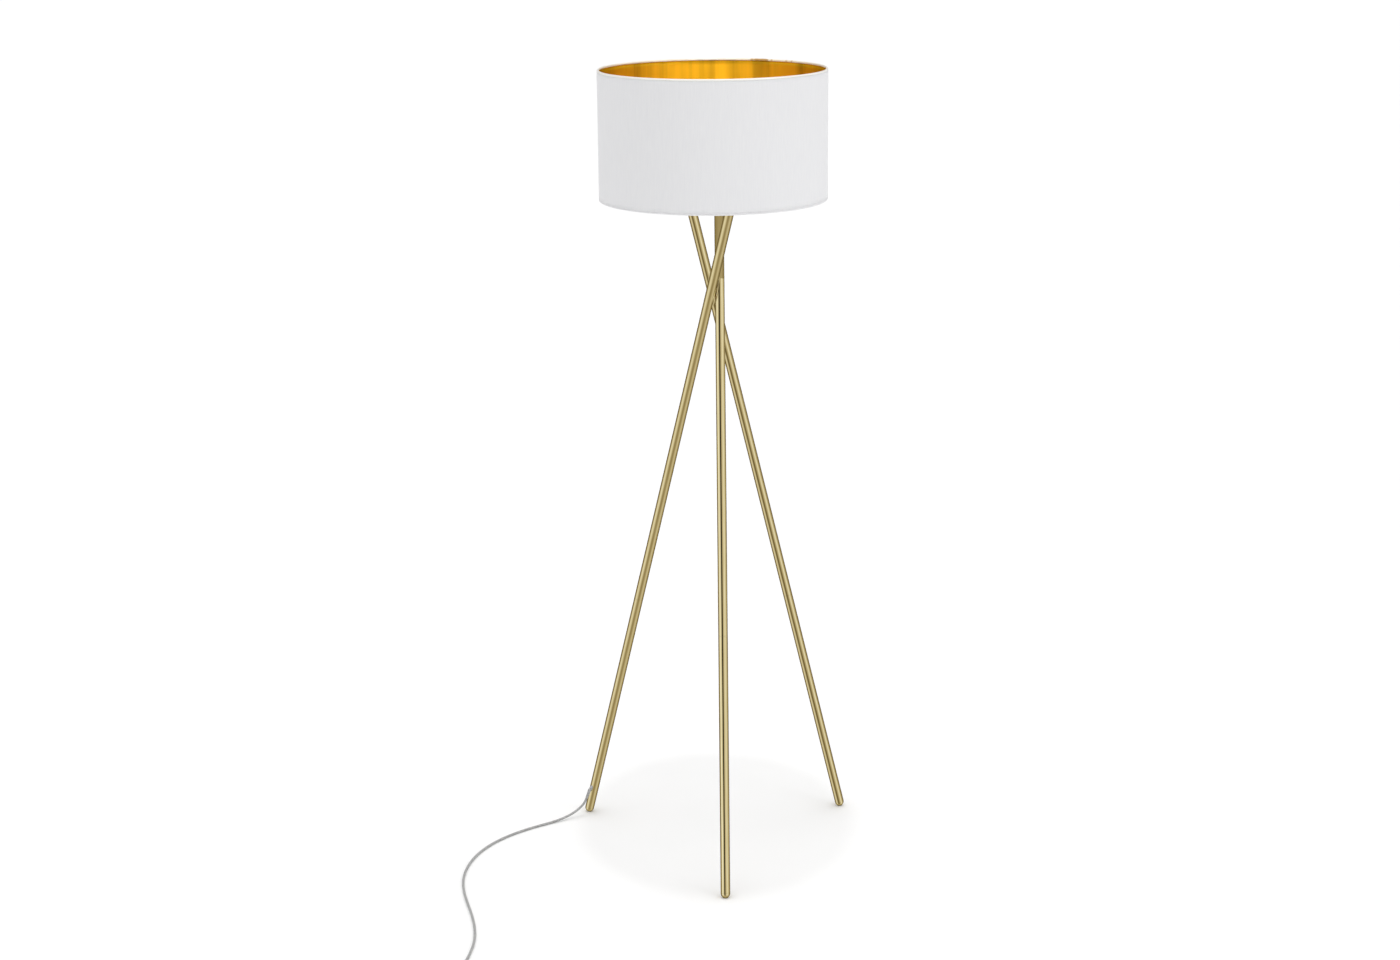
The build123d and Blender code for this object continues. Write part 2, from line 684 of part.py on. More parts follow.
def build_switch():
    """Inline foot switch with a domed button on a spring."""
    x, y = switch_centre
    low = (Align.CENTER, Align.CENTER, Align.MIN)
    corner = switch_width / 2 - switch_corner_cut
    outline = RectangleRounded(switch_length, switch_width, corner)
    inner = RectangleRounded(switch_length - 2 * switch_wall, switch_width - 2 * switch_wall,
                             corner - switch_wall)
    place = Pos(x, y, 0)
    base = place * (extrude(outline, switch_base_height)
                    - Pos(0, 0, switch_wall) * extrude(inner, switch_base_height))
    cover = place * Pos(0, 0, switch_base_height) * extrude(outline, switch_height - switch_base_height)
    cover = fillet(cover.edges().group_by(Axis.Z)[-1], switch_edge_round)
    room = extrude(inner, switch_height - switch_wall - switch_base_height + 1)
    cover -= place * Pos(0, 0, switch_base_height - 1) * room
    cover -= disc(switch_base_height, switch_height, button_radius + seat_gap, x, y)
    reliefs = []
    for direction in (-1, 1):
        inside = Vector(x + direction * (switch_length / 2 - switch_wall), y, switch_entry_height)
        end = switch_end(direction)
        reliefs.append(rod(inside, end, switch_relief_radius, cord_radius + relief_wall + snug))
        entry = rod(inside - Vector(direction, 0, 0), end, switch_relief_radius + snug)
        base -= entry
        cover -= entry
    nodes["switch_reliefs"] = group(reliefs)

    under_cover = switch_height - switch_wall - seat_gap
    stem = disc(under_cover, switch_wall + seat_gap + button_rise, button_radius, x, y)
    stem = fillet(stem.edges().group_by(Axis.Z)[-1], button_rise * button_round_share)
    flange_disc = disc(under_cover - button_flange, button_flange, button_radius + button_flange_reach, x, y)
    button = stem + flange_disc
    spring_bottom = switch_wall
    spring_top = under_cover - button_flange
    stem_radius, stem_length = button_stem
    button += disc(spring_top - stem_length, stem_length, stem_radius, x, y)
    nodes["switch_button"] = button
    nodes["switch_spring"] = ring(spring_bottom + hair, spring_top - spring_bottom - 2 * hair,
                                  spring_radius, spring_bore, x, y)

    screws = []
    head_radius, head_height = switch_screw_head
    sink_radius, sink_depth = switch_counterbore
    head_top = switch_screw_sunk + head_height
    for direction in (-1, 1):
        centre_x = x + direction * switch_screw_reach
        cover += disc(switch_wall, switch_height - 2 * switch_wall, switch_boss_radius, centre_x, y)
        cover -= disc(0, switch_wall + switch_pilot_depth, switch_pilot_radius, centre_x, y)
        base -= disc(-1, switch_wall + 2, switch_pilot_radius, centre_x, y)
        base -= disc(-1, sink_depth, sink_radius, centre_x, y)
        screws.append(disc(switch_screw_sunk, head_height, head_radius, centre_x, y)
                      + disc(head_top, switch_screw_length, switch_screw_radius, centre_x, y))
    nodes["switch_base"] = base
    nodes["switch_cover"] = cover
    nodes["switch_screws"] = group(screws)
    contacts = []
    for direction in (-1, 1):
        place_blade = Pos(x, y + direction * switch_blade_reach, switch_wall)
        contacts.append(place_blade * Box(*switch_blade, align=low))
    nodes["switch_contacts"] = group(contacts)


def build_cord():
    """Free cord: lamp lead, the lead into the coil, the coil with its ties, and the tail to the plug."""
    _, _, elbow, outer_end = outlet_frame()
    after_outlet = outer_end + (outer_end - elbow).normalized() * outlet_straight
    lamp_lead = [outer_end, after_outlet] + as_points(lamp_lead_route)
    lamp_lead += [switch_end(-1, switch_straight), switch_end(-1)]
    plug_lead = [switch_end(1), switch_end(1, switch_straight)] + as_points(plug_lead_route)
    coil_tail = as_points(coil_tail_route) + [plug_end(plug_straight), plug_end()]
    nodes["cord_lamp_lead"] = cord_tube(lamp_lead, "cord_lamp_lead")
    nodes["cord_plug_lead"] = cord_tube(plug_lead, "cord_plug_lead")
    nodes["cord_coil_tail"] = cord_tube(coil_tail, "cord_coil_tail")
    x, y = coil_centre
    coil = ring(coil_bottom, coil_height, coil_outer_radius, coil_inner_radius, x, y)
    nodes["cord_coil"] = fillet(coil.edges().filter_by(GeomType.CIRCLE), coil_edge_round)
    ties = []
    band = coil_outer_radius - coil_inner_radius
    middle_radius = (coil_outer_radius + coil_inner_radius) / 2
    for turn in tie_turns:
        spot = er(turn) * middle_radius
        shell = Box(band + 2 * tie_thickness, tie_width, coil_height + 2 * tie_thickness)
        shell -= Box(band + tie_thickness, 2 * tie_width, coil_height + 2 * hair)
        shell = Pos(x + spot.X, y + spot.Y, coil_bottom + coil_height / 2) * Rot(0, 0, turn) * shell
        ties.append(shell - coil)
    nodes["cord_ties"] = group(ties)


def build_plug():
    """Flat two-pin mains plug lying beside the coil."""
    place = Pos(*plug_entry) * Rot(0, 0, plug_heading)
    shoulder = plug_length * plug_shoulder_share
    outline = make_face(Polyline((0, -plug_neck_width / 2), (shoulder, -plug_width / 2),
                                 (plug_length, -plug_width / 2), (plug_length, plug_width / 2),
                                 (shoulder, plug_width / 2), (0, plug_neck_width / 2), close=True))
    body = Pos(0, 0, -plug_thickness / 2) * extrude(outline, plug_thickness)
    body = fillet(body.edges().filter_by(Axis.Z), plug_corner_round)
    for end in (-1, 0):
        body = fillet(body.edges().group_by(Axis.Z)[end], plug_edge_round)
    pins = []
    sleeves = []
    for side in (-1, 1):
        offset = side * pin_pitch / 2
        root = Vector(plug_length, offset, 0)
        sleeve_end = root + Vector(pin_sleeve_length, 0, 0)
        tip = root + Vector(pin_length, 0, 0)
        pin = rod(root, sleeve_end, pin_core_radius) + rod(sleeve_end, tip, pin_radius)
        pins.append(fillet(pin.edges().group_by(Axis.X)[-1], pin_tip_round))
        sleeves.append(pipe(root, sleeve_end, pin_sleeve_radius, pin_core_radius + hair))
    nodes["plug_body"] = place * body
    nodes["plug_relief"] = place * rod(Vector(-plug_relief_length, 0, 0), Vector(0, 0, 0),
                                       cord_radius + relief_wall, plug_relief_radius)
    nodes["plug_pins"] = group([place * pin for pin in pins])
    nodes["plug_pin_sleeves"] = group([place * sleeve for sleeve in sleeves])


# ------------------------------------------------------------------ build and write
nodes["foot_pads"] = group([build_leg(side) for side in waist_turn])
build_leg_joints()
build_waist_welds()
build_hub()
build_inner_cable()
build_lampholder()
build_bulb()
build_shade()
nodes["cord_outlet"] = cord_outlet()
build_cord()
build_switch()
build_plug()

os.makedirs("parts", exist_ok=True)
for name, part in nodes.items():
    export_step(part, f"parts/{name}.step")
print(len(nodes), "nodes")
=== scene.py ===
import math

import bmesh
import bpy
from mathutils import Matrix, Vector


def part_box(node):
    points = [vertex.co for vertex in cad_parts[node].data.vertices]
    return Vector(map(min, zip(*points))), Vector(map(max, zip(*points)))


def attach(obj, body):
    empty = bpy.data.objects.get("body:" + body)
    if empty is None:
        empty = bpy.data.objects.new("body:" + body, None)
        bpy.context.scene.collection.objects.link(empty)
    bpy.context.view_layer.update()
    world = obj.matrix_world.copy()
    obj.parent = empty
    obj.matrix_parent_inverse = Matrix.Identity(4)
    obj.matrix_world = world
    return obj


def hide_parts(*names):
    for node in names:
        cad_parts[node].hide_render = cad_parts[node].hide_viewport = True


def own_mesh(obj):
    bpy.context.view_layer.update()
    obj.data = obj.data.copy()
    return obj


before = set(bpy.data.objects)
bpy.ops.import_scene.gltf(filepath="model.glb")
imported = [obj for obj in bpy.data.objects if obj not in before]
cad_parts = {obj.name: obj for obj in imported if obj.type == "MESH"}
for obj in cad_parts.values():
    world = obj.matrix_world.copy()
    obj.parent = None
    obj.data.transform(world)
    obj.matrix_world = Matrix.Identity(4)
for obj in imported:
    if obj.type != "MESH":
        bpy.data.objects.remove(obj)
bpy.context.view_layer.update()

# ------------------------------------------------------------------ camera, with its angles in radians
camera_place = Vector((-0.2117, -4.8749, 2.0446))
camera_heading = 0.03697
camera_pitch = 0.25475
camera_roll = -0.00907
camera_lens = 64.03
camera_reach = 200.0
sensor_width = 36.0

# ------------------------------------------------------------------ studio
floor_size = 90.0
floor_tones = [(0.3, (0.93, 0.93, 0.93)), (0.7, (0.95, 0.95, 0.95))]
backdrop_radius = 44.0
backdrop_height = 40.0
backdrop_tone = (1.1, 1.1, 1.1)

# Painted shadow: a pale oval of shade in the floor's colour under the lamp. Its middle, half sizes, how
# far out it fades, and how far it darkens.
painted_shadow_middle = (0.0, 0.085)
painted_shadow_half = (0.258, 0.356)
painted_shadow_fade_end = 1.25
painted_shadow_tone = 0.932

# Light from all round, and two lights overhead: strength, and spread in degrees.
world_strength = 0.50
wide_light = (1.23, 120.0)
floor_light = (0.64, 50.0)
# Soft light at the right, aimed at the waist.
side_light_place = (2.6, -2.2, 2.0)
side_light_target = (0.0, 0.0, 1.2)
side_light_size = (1.2, 1.8)
side_light_power = 12.0
# Two small lights inside the shade, above the bulb, as power and size: one for the wall away from the
# camera, one that shines all round.
shade_light_depth = 0.042
far_wall_light = (0.080, 0.08)
all_round_light = (0.02, 0.03)

# Round screens, close about each leg, that glow and that only reflections see: painted reflections, the
# light and dark stripes in the legs' metal. Each is given as (turn, tone) stops. The turn about the leg
# is in degrees toward +X, counted from screen_shift past the front.
screen_radius = 0.0125
screen_sides = 180
screen_shift = 9.0
screen_top = 1.335
screen_waist = 1.185
# Screens are warm where dark and cool where bright: green and blue as shares of red, first at no tone,
# then what a tone of 1 adds.
screen_green = (0.86, 0.21)
screen_blue = (0.42, 0.84)
back_reflection_tones = [
    (70, 0.42), (84, 0.30), (98, 0.32), (108, 0.72), (128, 1.00), (150, 0.80), (164, 0.35),
    (176, 0.35), (188, 0.85), (208, 1.10), (228, 0.85), (250, 0.40), (262, 0.28), (272, 0.36)]
front_leg_reflection_tones = [
    (0, 0.90), (10, 1.15), (22, 1.25), (34, 1.00), (52, 0.76), *back_reflection_tones, (286, 0.75),
    (301, 1.50), (316, 1.20), (328, 0.85), (333, 0.02), (346, 0.02), (351, 0.75), (360, 0.90)]
left_leg_reflection_tones = [
    (0, 0.60), (12, 0.80), (25, 1.00), (40, 0.70), (54, 0.50), *back_reflection_tones,
    (286, 0.70), (300, 1.28), (317, 1.10), (331, 0.70), (340, 0.46), (351, 0.48), (360, 0.60)]
right_leg_reflection_tones = [
    (0, 0.78), (8, 1.00), (20, 1.35), (32, 1.02), (45, 0.66), (56, 0.48), *back_reflection_tones,
    (286, 0.58), (300, 1.22), (315, 0.95), (328, 0.30), (343, 0.22), (350, 0.60), (360, 0.78)]
behind_waist_reflection_tones = [(0, 0.62), *back_reflection_tones, (310, 0.50), (360, 0.62)]
# The feet reflect one even patch that lies just above the floor.
screen_floor_radius = 0.75
screen_floor_height = 0.0004
screen_floor_tone = 0.70

# ------------------------------------------------------------------ shade
shade_segments = 288
shade_rows = 28
cloth_thickness = 0.0008
foil_thickness = 0.0007
# Waves of the two walls: their depth, the share of the upright half wave left out at each rim, and the
# weight, count, phase and lean of each wave round the drum.
cloth_depth = 0.00012
cloth_rim_share = 0.0
cloth_waves = [(0.6, 3, 0.7, 0.0), (0.4, 7, 2.0, 2.2)]
foil_depth = 0.00035
foil_rim_share = 0.12
foil_waves = [(0.45, 11, 0.4, 0.0), (0.35, 19, 2.1, 0.8), (0.20, 31, 4.4, -0.6)]

# ------------------------------------------------------------------ cord
cord_diameter = 0.005
cord_lie = 0.0026
switch_mouth = 0.0080
plug_mouth = 0.0070

coil_centre = Vector((-0.2320, -0.7140))
coil_turns_per_layer = 2
coil_points_per_turn = 14
coil_outer_turn = 0.034
coil_pitch = 0.005
coil_low = 0.0036
coil_high = 0.0086
coil_climb_turns = 0.5

# The lamp's lead: from the outlet down to the floor, forward, then round to the foot switch.
lamp_lead_points = [
    (-0.27596, 0.13535, 0.03892), (-0.28003, 0.13276, 0.02903), (-0.2880, 0.1292, 0.0209),
    (-0.3007, 0.1212, 0.0129), (-0.3184, 0.1099, 0.0065), (-0.3418, 0.0949, 0.0032),
    (-0.3720, 0.0760, cord_lie), (-0.4090, 0.0500, cord_lie), (-0.4460, 0.0160, cord_lie),
    (-0.4790, -0.0270, cord_lie), (-0.5040, -0.0780, cord_lie), (-0.5190, -0.1340, cord_lie),
    (-0.5250, -0.1920, cord_lie), (-0.5210, -0.2510, cord_lie), (-0.5110, -0.3090, cord_lie),
    (-0.4990, -0.3670, cord_lie), (-0.4900, -0.4250, cord_lie), (-0.4870, -0.4830, cord_lie),
    (-0.4920, -0.5400, cord_lie), (-0.5030, -0.5940, cord_lie), (-0.5070, -0.6340, cord_lie),
    (-0.4980, -0.6620, cord_lie), (-0.4750, -0.6770, 0.0038), (-0.4480, -0.6800, switch_mouth),
    (-0.4280, -0.6800, switch_mouth)]
# From the switch to the coil, and from the coil's upper layer to the plug.
switch_side_points = [
    (-0.3160, -0.6800, switch_mouth), (-0.2960, -0.6800, switch_mouth), (-0.2780, -0.6812, 0.0046),
    (-0.2610, -0.6808, 0.0038), (-0.2450, -0.6801, coil_low)]
plug_side_points = [
    (-0.2190, -0.6804, coil_high), (-0.2020, -0.6792, 0.0082), (-0.18465, -0.67666, plug_mouth),
    (-0.17055, -0.68179, plug_mouth)]

# ------------------------------------------------------------------ colours
# Colour ramps, as (position, colour) stops, and the range of each roughness.
brass_tones = [(0.30, (0.53, 0.400, 0.160)), (0.52, (0.60, 0.465, 0.205)), (0.74, (0.67, 0.540, 0.265))]
brass_edge_tint = (0.25, 0.20, 0.13, 1.0)
brass_roughness = (0.08, 0.18)

# The lining's ramp takes its tone at each of these shares; its darker and brighter upright bands are
# painted reflections of the foil's ripples.
lining_tone = (0.93, 0.505, 0.020)
lining_shares = [(0.36, 0.66), (0.47, 0.88), (0.60, 1.0)]
lining_edge_tint = (0.06, 0.02, 0.0, 1.0)
lining_roughness = (0.42, 0.58)

# The rim's foil has browner patches on its inner side, which fade out within rim_patch_depth of its
# outside. Its cream and its brown patches are painted reflections of the rolled foil.
rim_painted_reflection_tones = [(0.36, (0.60, 0.38, 0.14)), (0.40, (0.95, 0.89, 0.75)), (0.62, (0.97, 0.94, 0.88))]
rim_patch_depth = 0.0015
rim_paler = 0.6
rim_roughness = (0.24, 0.36)

cloth_tones = [(0.25, (0.805, 0.805, 0.822)), (0.60, (0.830, 0.830, 0.842)), (0.85, (0.85, 0.85, 0.858))]
cloth_roughness = (0.72, 0.88)
# Puts the threads about 0.35 mm apart.
thread_scale = 900.0

sheath_tones = [(0.35, (0.24, 0.24, 0.24)), (0.55, (0.40, 0.40, 0.395)), (0.75, (0.54, 0.535, 0.52))]
sheath_roughness = (0.22, 0.36)

# Plain metals and plastics: colour, roughness, and the CAD nodes that wear them.
plated_metals = {
    "zinc": ((0.62, 0.63, 0.65), 0.32, [
        "leg_joint_bushes", "leg_joint_spigots", "leg_top_studs", "hub_nuts", "hub_washers", "nipple",
        "switch_screws", "switch_spring"]),
    "fitter_plating": ((0.80, 0.79, 0.77), 0.22, [
        "shade_fitter_ring", "shade_spokes", "shade_wire_top", "shade_wire_bottom"]),
    "contact_brass": ((0.80, 0.66, 0.36), 0.28, [
        "lampholder_thread_shell", "lampholder_centre_contact", "lampholder_screws", "switch_contacts",
        "bulb_contact", "plug_pins"]),
    "cap_metal": ((0.82, 0.80, 0.76), 0.25, ["bulb_cap"]),
}
moulded_parts = {
    "rolled_cloth": ((0.82, 0.82, 0.83), 0.80, ["shade_trim_bottom"]),
    "black_phenolic": ((0.028, 0.027, 0.026), 0.42, [
        "lampholder_cap", "lampholder_skirt", "shade_ring_nut", "bulb_insulator", "plug_pin_sleeves"]),
    "holder_ceramic": ((0.80, 0.79, 0.74), 0.55, ["lampholder_insulator"]),
    "bulb_collar": ((0.84, 0.84, 0.82), 0.30, ["bulb_collar", "bulb_led_board"]),
    "glide_rubber": ((0.10, 0.095, 0.09), 0.75, ["foot_pads"]),
    "white_plastic": ((0.80, 0.80, 0.79), 0.32, ["switch_base", "switch_cover", "plug_body"]),
    "button_plastic": ((0.70, 0.70, 0.69), 0.25, ["switch_button"]),
    "tie_plastic": ((0.62, 0.62, 0.61), 0.40, ["cord_ties"]),
}
opal_colour = (0.87, 0.87, 0.85)
opal_roughness = 0.35
opal_scatter = 0.15


# ------------------------------------------------------------------ materials
class Nodes:
    """Short way to add and join shader nodes in one material."""

    def __init__(self, name):
        self.material = bpy.data.materials.new(name)
        self.material.use_nodes = True
        self.tree = self.material.node_tree
        self.shader = self.tree.nodes["Principled BSDF"]

    def add(self, kind, inputs=None, **settings):
        """New node with its settings, and with fixed values for some of its inputs."""
        node = self.tree.nodes.new(kind)
        for key, value in settings.items():
            setattr(node, key, value)
        for key, value in (inputs or {}).items():
            node.inputs[key].default_value = value
        return node

    def join(self, source, target):
        self.tree.links.new(source, target)

    def place(self, scale=(1.0, 1.0, 1.0), turn=(0.0, 0.0, 0.0), shift=(0.0, 0.0, 0.0)):
        """Object coordinates, turned, then scaled and shifted."""
        where = self.add("ShaderNodeTexCoord")
        turned = self.add("ShaderNodeMapping", {"Rotation": turn})
        scaled = self.add("ShaderNodeMapping", {"Scale": scale, "Location": shift})
        self.join(where.outputs["Object"], turned.inputs["Vector"])
        self.join(turned.outputs["Vector"], scaled.inputs["Vector"])
        return scaled.outputs["Vector"]

    def length(self, vector):
        """How far a place is from the origin."""
        node = self.add("ShaderNodeVectorMath", operation="LENGTH")
        self.join(vector, node.inputs[0])
        return node.outputs["Value"]

    def noise(self, vector, scale, detail, roughness=0.55):
        node = self.add("ShaderNodeTexNoise", {"Scale": scale, "Detail": detail, "Roughness": roughness})
        self.join(vector, node.inputs["Vector"])
        return node.outputs["Fac"]

    def ramp(self, factor, stops):
        """Colour ramp from (position, colour) stops."""
        node = self.add("ShaderNodeValToRGB")
        elements = node.color_ramp.elements
        while len(elements) < len(stops):
            elements.new(0.5)
        for element, (position, colour) in zip(elements, stops):
            element.position = position
            element.color = (*colour, 1.0)
        self.join(factor, node.inputs["Fac"])
        return node.outputs["Color"]

    def spread(self, factor, low, high, start=0.0, end=1.0, **settings):
        """Factor from start..end taken to low..high."""
        limits = {"From Min": start, "From Max": end, "To Min": low, "To Max": high}
        node = self.add("ShaderNodeMapRange", limits, **settings)
        self.join(factor, node.inputs["Value"])
        return node.outputs["Result"]

    def colour(self, source):
        self.join(source, self.shader.inputs["Base Color"])

    def rough(self, factor, low, high):
        self.join(self.spread(factor, low, high), self.shader.inputs["Roughness"])

    def bump(self, height, strength, distance):
        node = self.add("ShaderNodeBump", {"Strength": strength, "Distance": distance})
        self.join(height, node.inputs["Height"])
        self.join(node.outputs["Normal"], self.shader.inputs["Normal"])

    def set(self, **values):
        """Fixed values on the shader itself; gives the finished material."""
        for key, value in values.items():
            self.shader.inputs[key.replace("_", " ")].default_value = value
        return self.material


def darker(colour, share):
    """Colour at a share of its strength."""
    return tuple(channel * share for channel in colour)


def brushed_brass(name, direction):
    """Satin brass lacquer, brushed along a direction, with faint streaks and fingerprints."""
    n = Nodes(name)
    turn = Vector(direction).rotation_difference(Vector((0, 0, 1))).to_euler()
    streaks = n.noise(n.place(scale=(1.0, 1.0, 0.012), turn=tuple(turn)), scale=1500.0, detail=3.0)
    smudge = n.noise(n.place(), scale=26.0, detail=5.0)
    n.colour(n.ramp(streaks, brass_tones))
    n.rough(smudge, *brass_roughness)
    n.bump(streaks, strength=0.10, distance=0.0001)
    return n.set(Metallic=1.0, Specular_Tint=brass_edge_tint)


def gold_foil():
    """Satin gold foil on the shade's inside, rolled on with upright bands: bumped as ripples, with darker
    and brighter tones painted in as their reflections.
    """
    n = Nodes("lining_foil")
    ripple_bands_and_painted_reflection = n.noise(n.place(scale=(1.0, 1.0, 0.04)), scale=26.0, detail=3.0, roughness=0.65)
    grain = n.noise(n.place(), scale=900.0, detail=2.0)
    # Painted reflection: the upright bands darken and brighten the foil's colour.
    n.colour(n.ramp(ripple_bands_and_painted_reflection, [(position, darker(lining_tone, share)) for position, share in lining_shares]))
    n.rough(grain, *lining_roughness)
    n.bump(ripple_bands_and_painted_reflection, strength=0.35, distance=0.003)
    return n.set(Metallic=1.0, Specular_Tint=lining_edge_tint)


def rim_foil():
    """Pale satin foil folded over the rim, with browner patches on its inner side; the cream and the
    brown are painted reflections.
    """
    n = Nodes("rim_foil")
    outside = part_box("shade_trim_top")[1][0]
    rim_patches_and_painted_reflection = n.noise(n.place(scale=(1.0, 1.0, 0.2)), scale=9.0, detail=4.0, roughness=0.7)
    from_axis = n.length(n.place(scale=(1.0, 1.0, 0.0)))
    outward = n.spread(from_axis, low=0.0, high=1.0, start=outside - rim_patch_depth, end=outside)
    paler = n.add("ShaderNodeMath", {1: rim_paler}, operation="MULTIPLY_ADD")
    n.join(outward, paler.inputs[0])
    n.join(rim_patches_and_painted_reflection, paler.inputs[2])
    # Painted reflection: cream and brown patches in the rim's colour.
    n.colour(n.ramp(paler.outputs["Value"], rim_painted_reflection_tones))
    n.rough(rim_patches_and_painted_reflection, *rim_roughness)
    n.bump(rim_patches_and_painted_reflection, strength=0.3, distance=0.001)
    return n.set(Metallic=0.3)


def shade_cloth():
    """Fine white cloth laminated on a plastic sheet."""
    n = Nodes("shade_cloth")
    where = n.add("ShaderNodeUVMap")
    weave = n.add("ShaderNodeMath", operation="ADD")
    threads = {"Scale": thread_scale, "Distortion": 0.6, "Detail": 1.0}
    for term, direction in enumerate("XY"):
        wave = n.add("ShaderNodeTexWave", threads, wave_type="BANDS", bands_direction=direction)
        n.join(where.outputs["UV"], wave.inputs["Vector"])
        n.join(wave.outputs["Fac"], weave.inputs[term])
    slubs = n.noise(n.place(scale=(1.0, 1.0, 0.08)), scale=420.0, detail=4.0)
    n.colour(n.ramp(slubs, cloth_tones))
    n.rough(slubs, *cloth_roughness)
    n.bump(weave.outputs["Value"], strength=0.25, distance=0.0001)
    return n.set(Sheen_Weight=0.12, Sheen_Roughness=0.5)


def moulded(name, colour, roughness, **extra):
    """Moulded plastic or rubber with a fine skin and slight colour drift."""
    n = Nodes(name)
    drift = n.noise(n.place(), scale=45.0, detail=4.0)
    skin = n.noise(n.place(), scale=1200.0, detail=3.0)
    n.colour(n.ramp(drift, [(0.3, darker(colour, 0.93)), (0.7, colour)]))
    n.rough(skin, roughness * 0.85, min(1.0, roughness * 1.2))
    n.bump(skin, strength=0.12, distance=0.0001)
    return n.set(**extra)


def plated(name, colour, roughness):
    """Plated or bare metal with fine turning marks."""
    n = Nodes(name)
    marks = n.noise(n.place(scale=(1.0, 1.0, 14.0)), scale=350.0, detail=3.0)
    stain = n.noise(n.place(), scale=60.0, detail=5.0)
    n.colour(n.ramp(stain, [(0.3, darker(colour, 0.85)), (0.65, colour)]))
    n.rough(marks, roughness * 0.75, roughness * 1.3)
    n.bump(marks, strength=0.15, distance=0.0001)
    return n.set(Metallic=1.0)


def clear_sheath():
    """Clear cord sheath with the twisted silver cores just showing through."""
    n = Nodes("clear_sheath")
    cores = n.noise(n.place(), scale=420.0, detail=2.0)
    n.colour(n.ramp(cores, sheath_tones))
    n.rough(cores, *sheath_roughness)
    n.bump(cores, strength=0.15, distance=0.0002)
    return n.set(Coat_Weight=0.5, Coat_Roughness=0.12)


def glow(name, colour=(0.0, 0.0, 0.0)):
    """Nodes of a material that only gives light."""
    n = Nodes(name)
    n.set(Base_Color=(0, 0, 0, 1), Roughness=1.0, Specular_IOR_Level=0.0,
          Emission_Color=(*colour, 1), Emission_Strength=1.0)
    return n


# ------------------------------------------------------------------ helpers for shapes
def link(thing):
    """Puts a new object in the scene."""
    bpy.context.scene.collection.objects.link(thing)
    return thing


def mesh_object(name, points, faces, smooth=True):
    """New object from points and faces, with its normals facing out."""
    data = bpy.data.meshes.new(name)
    data.from_pydata(points, [], faces)
    solid = bmesh.new()
    solid.from_mesh(data)
    bmesh.ops.recalc_face_normals(solid, faces=solid.faces)
    solid.to_mesh(data)
    solid.free()
    data.polygons.foreach_set("use_smooth", [smooth] * len(data.polygons))
    return link(bpy.data.objects.new(name, data))


def circle(radius, height):
    """Points round an upright axis."""
    turns = [2 * math.pi * step / screen_sides for step in range(screen_sides)]
    return [(radius * math.cos(turn), radius * math.sin(turn), height) for turn in turns]


def round_wall(name, radius, height):
    """Open upright cylinder on its own origin."""
    faces = []
    for step in range(screen_sides):
        after = (step + 1) % screen_sides
        faces.append((step, after, screen_sides + after, screen_sides + step))
    return mesh_object(name, circle(radius, 0.0) + circle(radius, height), faces)


def leg_line(side):
    """Two points on a leg's axis: the middles of its lower and upper tubes."""
    tubes = (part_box(f"leg_lower_{side}"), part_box(f"leg_upper_{side}"))
    return [(Vector(low) + Vector(high)) / 2 for low, high in tubes]


# ------------------------------------------------------------------ camera
def make_camera():
    """Camera at the chosen viewpoint."""
    data = bpy.data.cameras.new("camera")
    data.lens = camera_lens
    data.sensor_width = sensor_width
    data.sensor_fit = "HORIZONTAL"
    data.clip_end = camera_reach
    forward = Vector((math.sin(camera_heading) * math.cos(camera_pitch),
                      math.cos(camera_heading) * math.cos(camera_pitch), -math.sin(camera_pitch)))
    level = Vector((math.cos(camera_heading), -math.sin(camera_heading), 0.0))
    upward = level.cross(forward)
    right = level * math.cos(camera_roll) + upward * math.sin(camera_roll)
    up = upward * math.cos(camera_roll) - level * math.sin(camera_roll)
    turned = Matrix((right, up, -forward)).transposed().to_4x4()
    made = link(bpy.data.objects.new("camera", data))
    made.matrix_world = Matrix.Translation(camera_place) @ turned
    bpy.context.scene.camera = made


# ------------------------------------------------------------------ cord
def coil_points():
    """Spare cord wound inward on the lower layer and outward again on the upper one."""
    points = []
    total = 2 * coil_turns_per_layer
    for step in range(total * coil_points_per_turn + 1):
        turns = step / coil_points_per_turn
        depth = turns if turns <= coil_turns_per_layer else total - turns
        radius = coil_outer_turn - coil_pitch * depth
        climb = min(1.0, max(0.0, (turns - coil_turns_per_layer) / coil_climb_turns + 0.5))
        climb = climb * climb * (3 - 2 * climb)
        angle = math.pi / 2 - 2 * math.pi * turns
        points.append((coil_centre.x + radius * math.cos(angle),
                       coil_centre.y + radius * math.sin(angle),
                       coil_low + (coil_high - coil_low) * climb))
    return points


def route_line(name, points):
    """Smooth line through a route, with the route's points as its control points."""
    curve = bpy.data.curves.new(name, "CURVE")
    curve.dimensions = "3D"
    spline = curve.splines.new("NURBS")
    spline.points.add(len(points) - 1)
    for point, place in zip(spline.points, points):
        point.co = (*place, 1.0)
    spline.order_u = 3
    spline.use_endpoint_u = True
    spline.resolution_u = 10
    return link(bpy.data.objects.new(name, curve))


def cord_curve(name, points, material):
    """Round cord along its route."""
    made = route_line(name, points)
    made.data.bevel_depth = cord_diameter / 2
    made.data.bevel_resolution = 5
    made.data.use_fill_caps = True
    made.data.materials.append(material)
    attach(made, "stand")
    return made


def line_length(points):
    """Length of the smooth line that a route's points give."""
    probe = route_line("probe", points)
    bpy.context.view_layer.update()
    line = bpy.data.meshes.new_from_object(probe)
    spots = [vertex.co.copy() for vertex in line.vertices]
    bpy.data.objects.remove(probe)
    bpy.data.meshes.remove(line)
    return sum((b - a).length for a, b in zip(spots, spots[1:]))


def make_cords(sheath):
    """The two free lengths of cord: lamp to foot switch, and foot switch to plug."""
    lamp_lead = cord_curve("lamp_lead", lamp_lead_points, sheath)
    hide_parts("cord_lamp_lead")
    line_length(lamp_lead_points)
    plug_points = switch_side_points + coil_points() + plug_side_points
    plug_lead = cord_curve("plug_lead", plug_points, sheath)
    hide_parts("cord_plug_lead", "cord_coil", "cord_coil_tail")
    line_length(plug_points)


